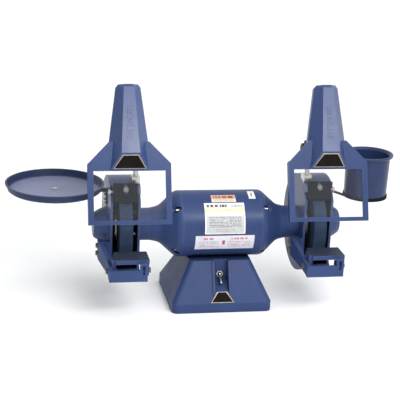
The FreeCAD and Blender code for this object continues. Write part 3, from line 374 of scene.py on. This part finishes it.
class Print(Finish):
    """A printed label round the barrel. It runs along from 0 to 1, and down from 0 at its top edge to 1.

    left and right are its ends in metres, top and foot its edges in degrees from the barrel's highest line.
    """

    def __init__(self, name, left, right, top, foot):
        super().__init__(name, shine=0.25)
        x, y, z = self.axes()
        self.along = self.span(x, left, right)
        angle = self.math("ARCTAN2", self.times(y, -1.0), self.math("SUBTRACT", z, SHAFT_Z))
        self.down = self.span(angle, math.radians(top), math.radians(foot))

    def window(self, left, right, top, foot):
        """1 inside a rectangle of the strip, 0 outside."""
        inside = self.times(self.math("GREATER_THAN", self.along, left),
                           self.math("LESS_THAN", self.along, right))
        inside = self.times(inside, self.math("GREATER_THAN", self.down, top))
        return self.times(inside, self.math("LESS_THAN", self.down, foot))

    def bars(self, rows, left, right, top, foot, thick=0.45, broken=34.0):
        """Rows of broken bars that stand for small print."""
        row = self.times(self.span(self.down, top, foot), float(rows))
        number = self.math("FLOOR", row)
        spot = self.node("CombineXYZ", {"X": self.times(self.along, broken),
                                        "Y": self.times(number, 7.31), "Z": 0.0}).outputs["Vector"]
        gaps = self.math("GREATER_THAN", self.noise(1.0, detail=0.0, where=spot), 0.44)
        ink = self.math("LESS_THAN", self.math("FRACT", row), thick)
        return self.times(self.times(ink, gaps), self.window(left, right, top, foot))

    def printed(self, colour):
        stain = self.noise(55.0, detail=5.0, rough=0.6)
        colour = self.mix(self.span(stain, 0.4, 0.75, 0.0, 0.45), colour, (0.34, 0.33, 0.32))
        self.bump(stain, 0.03 * MM, 0.4)
        return self.done(colour, self.span(stain, 0.3, 0.7, 0.34, 0.5))


WHITE_INK = (0.74, 0.73, 0.71)
DARK_INK = (0.05, 0.05, 0.06)


def rating_print():
    low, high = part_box("rating_plate")
    label = Print("rating_print", low.x, high.x, 36.5, 91.5)
    colour = label.mix(label.window(0.03, 0.97, 0.3, 0.97), WHITE_INK, (0.42, 0.44, 0.44))
    colour = label.mix(label.window(0.0, 1.0, 0.19, 0.3), colour, (0.7, 0.58, 0.36))
    colour = label.mix(label.bars(1, 0.06, 0.6, 0.05, 0.17, 0.8, 18.0), colour, DARK_INK)
    colour = label.mix(label.bars(1, 0.66, 0.95, 0.07, 0.17, 0.7, 40.0), colour, (0.3, 0.3, 0.3))
    colour = label.mix(label.window(0.03, 0.97, 0.3, 0.42), colour, (0.7, 0.7, 0.72))
    colour = label.mix(label.bars(7, 0.1, 0.9, 0.46, 0.8, 0.5, 30.0), colour, (0.14, 0.15, 0.16))
    colour = label.mix(label.bars(2, 0.25, 0.75, 0.84, 0.94, 0.5, 26.0), colour, (0.3, 0.27, 0.24))
    return label.printed(colour)


def upper_print():
    label = Print("upper_print", -26 * MM, 36 * MM, 17, 34)
    colour = label.mix(label.window(0.0, 1.0, 0.0, 0.62), (0.66, 0.6, 0.54), (0.6, 0.32, 0.19))
    colour = label.mix(label.bars(1, 0.08, 0.92, 0.16, 0.52, 0.9, 16.0), colour, (0.16, 0.05, 0.03))
    colour = label.mix(label.bars(2, 0.1, 0.9, 0.68, 0.95, 0.5, 24.0), colour, (0.3, 0.26, 0.22))
    return label.printed(colour)


def lower_print():
    label = Print("lower_print", -70 * MM, 80 * MM, 94, 122)
    paper, red = (0.56, 0.54, 0.62), (0.42, 0.17, 0.15)
    colour = label.mix(label.bars(1, 0.12, 0.3, 0.14, 0.28, 0.9, 20.0), paper, red)
    colour = label.mix(label.bars(1, 0.58, 0.88, 0.14, 0.28, 0.9, 26.0), colour, red)
    colour = label.mix(label.bars(4, 0.06, 0.4, 0.38, 0.88, 0.45, 44.0), colour, (0.3, 0.27, 0.29))
    colour = label.mix(label.bars(4, 0.55, 0.94, 0.38, 0.88, 0.45, 44.0), colour, (0.3, 0.27, 0.29))
    colour = label.mix(label.window(0.455, 0.5, 0.32, 0.62), colour, (0.3, 0.05, 0.04))
    return label.printed(colour)


# ---------------------------------------------------------------- looks of the CAD pieces
def dress(names, *materials):
    for name in names:
        slots = NODES[name].data.materials
        slots.clear()
        for material in materials:
            slots.append(material)


def both(*names):
    return [f"{side}_{name}" for name in names for side in SIDES]


def split_labels(upper, lower):
    """The upper sticker takes one print and the lower one the other, by height on the barrel."""
    label = NODES["motor_labels"].data
    label.materials.clear()
    label.materials.append(upper)
    label.materials.append(lower)
    for face in label.polygons:
        face.material_index = 0 if face.center.z > SHAFT_Z + BARREL_RADIUS / 2 else 1


cast_blue = enamel("cast_blue", True, dull=0.94, shine=0.2, low=0.38, high=0.52)
sheet_blue = enamel("sheet_blue", False)
black = black_paint()
zinc = metal("zinc", ZINC, 0.24, 0.36, (1.0, 1.0, 1.0))
dull_zinc = metal("dull_zinc", shade(ZINC, 0.28), 0.5, 0.65, (1.0, 1.0, 1.0))
ground_steel = metal("ground_steel", STEEL, 0.2, 0.34, (8.0, 1.0, 1.0))
plastic = moulded("black_plastic", (0.014, 0.014, 0.015), 0.36, 0.5)
rubber = moulded("rubber", (0.02, 0.02, 0.021), 0.6, 0.75)

dress(["base_casting"] + both("end_bell", "rest_bracket"), cast_blue)
dress(both("rest_table"), rest_enamel())
dress(both("lamp_hood"), sheet_blue)
dress(["motor_barrel"] + both("shield_frame"),
      enamel("satin_blue", False, dull=0.9, shine=0.18, low=0.32, high=0.42))
# The pot's darker copy of the blue enamel is painted shade from the shield above it.
dress(["water_pot"], enamel("shaded_pot_enamel", False, dull=0.6, shine=0.25))
dress(both("guard_housing", "guard_cover"), guard_enamel())
dress(["tool_tray"], tray_enamel())
dress(["bottom_plate", "tray_bracket", "pot_holder"] + both("spark_guard", "shield_clamp"), black)
dress(["rest_bolts", "spark_guard_screws"], dull_zinc)
dress(["bottom_plate_screws", "through_bolts", "motor_mount_bolts", "shield_pivot_bolts",
       "guard_and_bracket_screws", "switch_nut", "switch_lever", "arbor_nuts", "wheel_flanges"]
      + both("shield_arm"), zinc)
dress(["arbor_shaft"] + both("bearing"), ground_steel)
dress(["stator_core", "rotor_core"], laminations())
dress(["stator_windings"], windings())
dress(both("wheel"), grit())
dress(["wheel_blotters"], blotter())
dress(both("shield_window"), clear_sheet())
dress(both("lamp_bulb"), bulb_glass())
dress(["switch_body"] + both("shield_knob", "lamp_socket"), plastic)
dress(["cord_grommet"], rubber)
dress(["run_capacitor"], can())
dress(["rating_plate"], rating_print())
split_labels(upper_print(), lower_print())


# ---------------------------------------------------------------- pieces made here
def piece(name, mesh, materials, body, smooth=True):
    thing = bpy.data.objects.new(name, mesh)
    bpy.context.scene.collection.objects.link(thing)
    for material in materials:
        mesh.materials.append(material)
    for face in mesh.polygons:
        face.use_smooth = smooth
    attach(thing, body)
    return thing


def plate_rings(form, place, outline, steps, slant=1.0):
    """A flat outline that climbs towards its place's -Y in steps of (height, inset), closed at both ends."""
    middle_x = sum(x for x, z in outline) / len(outline)
    middle_z = sum(z for x, z in outline) / len(outline)
    rings = []
    for height, inset in steps:
        ring = []
        for x, z in outline:
            x -= math.copysign(inset * slant, x - middle_x)
            z -= math.copysign(inset, z - middle_z)
            ring.append(form.verts.new(place @ Vector((x, -height, z))))
        rings.append(ring)
    for a, b in zip(rings, rings[1:]):
        for i in range(len(outline)):
            follow = (i + 1) % len(outline)
            form.faces.new((a[i], a[follow], b[follow], b[i]))
    form.faces.new(rings[0][::-1])
    return form.faces.new(rings[-1])


def finished(form, name):
    bmesh.ops.recalc_face_normals(form, faces=form.faces)
    mesh = bpy.data.meshes.new(name)
    form.to_mesh(mesh)
    form.free()
    return mesh


def badge(name, place, top_half, foot_half, tall, body):
    """A trapezoid plate in its place's X and Z, facing -Y, with a bright rim round a dark raised field."""
    form = bmesh.new()
    outline = [(-foot_half, 0), (foot_half, 0), (top_half, tall), (-top_half, tall)]
    steps = [(0, 0), (1.2 * MM, 0), (1.6 * MM, 0.4 * MM), (1.6 * MM, 1.5 * MM), (0.8 * MM, 1.9 * MM),
             (1.15 * MM, 1.9 * MM)]
    field = plate_rings(form, place, outline, steps, slant=1.7)
    for corner in field.verts:
        for face in corner.link_faces:
            face.material_index = 1
    piece(name, finished(form, name), [badge_rim, badge_field], body, smooth=False)


badge_rim = metal("badge_rim", (0.4, 0.35, 0.28), 0.3, 0.42, (1.0, 1.0, 1.0))
badge_field = moulded("badge_field", (0.006, 0.0055, 0.005), 0.6, 0.75, shine=0.05)


def base_badge():
    lean = math.atan2(BASE_RUN, BASE_RISE)
    up = 2 * MM
    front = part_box("base_casting")[0].y + up * math.tan(lean)
    place = Matrix.Translation((0, front, BASE_SKIRT + up)) @ Matrix.Rotation(-lean, 4, "X")
    badge("base_badge", place, 13 * MM, 30 * MM, 28 * MM, "root")


def hood_badge(side):
    """The badge on the panel that runs in under the hood's front."""
    panel = Matrix.Translation(PANEL_FOOT) @ Matrix.Rotation(math.atan2(PANEL_RUN, PANEL_RISE), 4, "X")
    place = shield_place(side) @ panel @ Matrix.Translation((0, 0, 3.5 * MM))
    badge(f"{side}_hood_badge", place, 20 * MM, 40 * MM, 38 * MM, f"{side}_shield")


def hood_emboss(side):
    """A column of plain raised blocks down the hood's middle face, in place of a raised name."""
    lean = Matrix.Rotation(-math.atan2(HOOD_FACE_RUN, HOOD_FACE_RISE), 4, "X")
    place = shield_place(side) @ Matrix.Translation(HOOD_FACE_FOOT) @ lean
    half_widths_and_heights = [(7, 7), (6, 5), (7, 8), (7, 6), (5, 4), (7, 8), (6, 6), (6, 7)]
    steps = [(-0.3 * MM, 0), (0.5 * MM, 0), (0.9 * MM, 0.5 * MM)]
    half_slit, gap = 0.8 * MM, 3.5 * MM
    form = bmesh.new()
    level = 34 * MM
    for number, (half, tall) in enumerate(half_widths_and_heights):
        half, tall = half * MM, tall * MM
        spans = [(-half, half)] if number % 3 else [(-half, -half_slit), (half_slit, half)]
        for left, right in spans:
            outline = [(left, level), (right, level), (right, level + tall), (left, level + tall)]
            plate_rings(form, place, outline, steps)
        level += tall + gap
    name = f"{side}_hood_emboss"
    piece(name, finished(form, name), [sheet_blue], f"{side}_shield", smooth=False)


def knob(side):
    """A fluted knob in the CAD knob's place: ten lobes, a dished face, a neck, and a bore for the bolt."""
    low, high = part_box(f"{side}_shield_knob")
    middle = (low + high) / 2
    radius = (high.z - low.z) / 2
    length = high.x - low.x
    face, inwards = (low.x, 1) if side == "right" else (high.x, -1)
    bore = 4.4 * MM / radius
    lobes, around = 10, 80
    # Each ring: how deep it lies from the face, its share of the radius, and how deep the flutes cut it.
    rings = [(1.8 * MM, 0.12, 0), (1.2 * MM, 0.5, 0), (0, 0.66, 0), (0, 0.8, 0.01), (1.0 * MM, 0.94, 0.05),
             (2.4 * MM, 1.0, 0.09), (length * 0.64, 1.0, 0.09), (length * 0.72, 0.94, 0.05),
             (length * 0.8, 0.66, 0), (length, 0.64, 0), (length, bore, 0), (4.2 * MM, bore, 0)]
    form = bmesh.new()
    loops = []
    for depth, share, flute in rings:
        loop = []
        for i in range(around):
            turn = math.tau * i / around
            reach = radius * (share - flute * (0.5 - 0.5 * math.cos(turn * lobes)))
            loop.append(form.verts.new((face + inwards * depth, middle.y + reach * math.cos(turn),
                                        middle.z + reach * math.sin(turn))))
        loops.append(loop)
    for a, b in zip(loops, loops[1:]):
        for i in range(around):
            follow = (i + 1) % around
            form.faces.new((a[i], a[follow], b[follow], b[i]))
    form.faces.new(loops[0])
    form.faces.new(loops[-1])
    name = f"{side}_fluted_knob"
    made = piece(name, finished(form, name), [plastic], f"{side}_knob")
    made.data.set_sharp_from_angle(angle=math.radians(50))
    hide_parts(f"{side}_shield_knob")


def tag():
    """A small white tag on the barrel with a plain black diamond on it."""
    left, right, top, foot = 71 * MM, 88 * MM, math.radians(3), math.radians(27)
    bands, columns = 12, 6
    form = bmesh.new()
    skins = []
    for lift, trim in ((0.02 * MM, 0.0), (0.25 * MM, 0.0), (0.35 * MM, 0.25 * MM)):
        reach = BARREL_RADIUS + lift
        grid = []
        for row in range(bands + 1):
            turn = top + trim / reach + (foot - top - 2 * trim / reach) * row / bands
            line = []
            for column in range(columns + 1):
                x = left + trim + (right - left - 2 * trim) * column / columns
                line.append(form.verts.new((x, -reach * math.sin(turn), SHAFT_Z + reach * math.cos(turn))))
            grid.append(line)
        skins.append(grid)
    for grid in (skins[0], skins[-1]):
        for row in range(bands):
            for column in range(columns):
                form.faces.new((grid[row][column], grid[row][column + 1], grid[row + 1][column + 1],
                                grid[row + 1][column]))
    rims = []
    for grid in skins:
        rims.append(grid[0] + [line[-1] for line in grid[1:]] + grid[-1][-2::-1]
                    + [line[0] for line in grid[-2:0:-1]])
    for a, b in zip(rims, rims[1:]):
        for i in range(len(a)):
            follow = (i + 1) % len(a)
            form.faces.new((a[i], a[follow], b[follow], b[i]))
    label = Print("tag_print", left, right, 3, 27)
    across = label.math("ABSOLUTE", label.math("SUBTRACT", label.along, 0.5))
    along = label.math("ABSOLUTE", label.math("SUBTRACT", label.down, 0.52))
    diamond = label.math("LESS_THAN", label.math("ADD", label.times(across, 2.4), along), 0.3)
    ink = label.printed(label.mix(diamond, WHITE_INK, (0.01, 0.01, 0.01)))
    piece("barrel_tag", finished(form, "barrel_tag"), [ink], "root")


base_badge()
tag()
for side in SIDES:
    hood_badge(side)
    hood_emboss(side)
    knob(side)


# ---------------------------------------------------------------- camera, floor and light
def placed(name, data):
    thing = bpy.data.objects.new(name, data)
    bpy.context.scene.collection.objects.link(thing)
    thing.rotation_mode = "QUATERNION"
    return thing


def outwards(azimuth, elevation):
    """The direction away from the object, in degrees round from -Y and up from the floor."""
    azimuth, elevation = math.radians(azimuth), math.radians(elevation)
    return Vector((math.sin(azimuth) * math.cos(elevation), -math.cos(azimuth) * math.cos(elevation),
                   math.sin(elevation)))


def camera():
    data = bpy.data.cameras.new("camera")
    data.lens = 106.7
    data.sensor_width = 36.0
    thing = placed("camera", data)
    back = outwards(-11.4, 17.6)
    roll = math.radians(2.7)
    target = Vector((-0.047, 0.0, 0.261))
    distance = 3.0
    thing.location = target + back * distance
    thing.rotation_quaternion = (-back).to_track_quat("-Z", "Y") @ Quaternion((0, 0, 1), roll)
    bpy.context.scene.camera = thing


def floor():
    finish = Finish("floor")
    cloud = finish.noise(3.0, detail=2.0)
    tone = finish.mix(cloud, (0.91, 0.92, 0.93), (0.94, 0.94, 0.94))
    paint = finish.done(tone, finish.span(cloud, 0, 1, 0.7, 0.8))
    mesh = bpy.data.meshes.new("floor")
    far = 14.0
    mesh.from_pydata([(-far, -far, 0), (far, -far, 0), (far, far, 0), (-far, far, 0)], [], [(0, 1, 2, 3)])
    mesh.materials.append(paint)
    thing = bpy.data.objects.new("floor", mesh)
    bpy.context.scene.collection.objects.link(thing)


def strip_light(spot, target, wide, tall, watts, colour):
    data = bpy.data.lights.new("strip", "AREA")
    data.shape = "ELLIPSE"
    data.size = wide
    data.size_y = tall
    data.energy = watts
    data.color = colour
    thing = placed("strip", data)
    thing.location = spot
    thing.rotation_quaternion = (Vector(target) - Vector(spot)).to_track_quat("-Z", "Y")


def sun(azimuth, elevation, strength, soft):
    data = bpy.data.lights.new("sun", "SUN")
    data.energy = strength
    data.angle = math.radians(soft)
    thing = placed("sun", data)
    thing.rotation_quaternion = (-outwards(azimuth, elevation)).to_track_quat("-Z", "Y")


def sky():
    """A pale sky, darker on the left."""
    world = bpy.data.worlds.new("studio")
    world.use_nodes = True
    tree = world.node_tree
    background = tree.nodes["Background"]
    background.inputs["Strength"].default_value = 1.0
    split = tree.nodes.new("ShaderNodeSeparateXYZ")
    ramp = tree.nodes.new("ShaderNodeMapRange")
    tree.links.new(tree.nodes.new("ShaderNodeTexCoord").outputs["Generated"], split.inputs["Vector"])
    tree.links.new(split.outputs["X"], ramp.inputs["Value"])
    for socket, value in (("From Min", -1.0), ("From Max", 1.0), ("To Min", 0.72), ("To Max", 1.15)):
        ramp.inputs[socket].default_value = value
    tree.links.new(ramp.outputs["Result"], background.inputs["Color"])
    bpy.context.scene.world = world


camera()
floor()
sky()
sun(azimuth=35, elevation=58, strength=0.8, soft=50)
strip_light(spot=(0.22, -1.18, 1.16), target=(0.0, 0.0, 0.46), wide=1.0, tall=0.36, watts=15.0,
            colour=(1.0, 0.99, 0.98))
bpy.context.scene.view_settings.view_transform = "Standard"
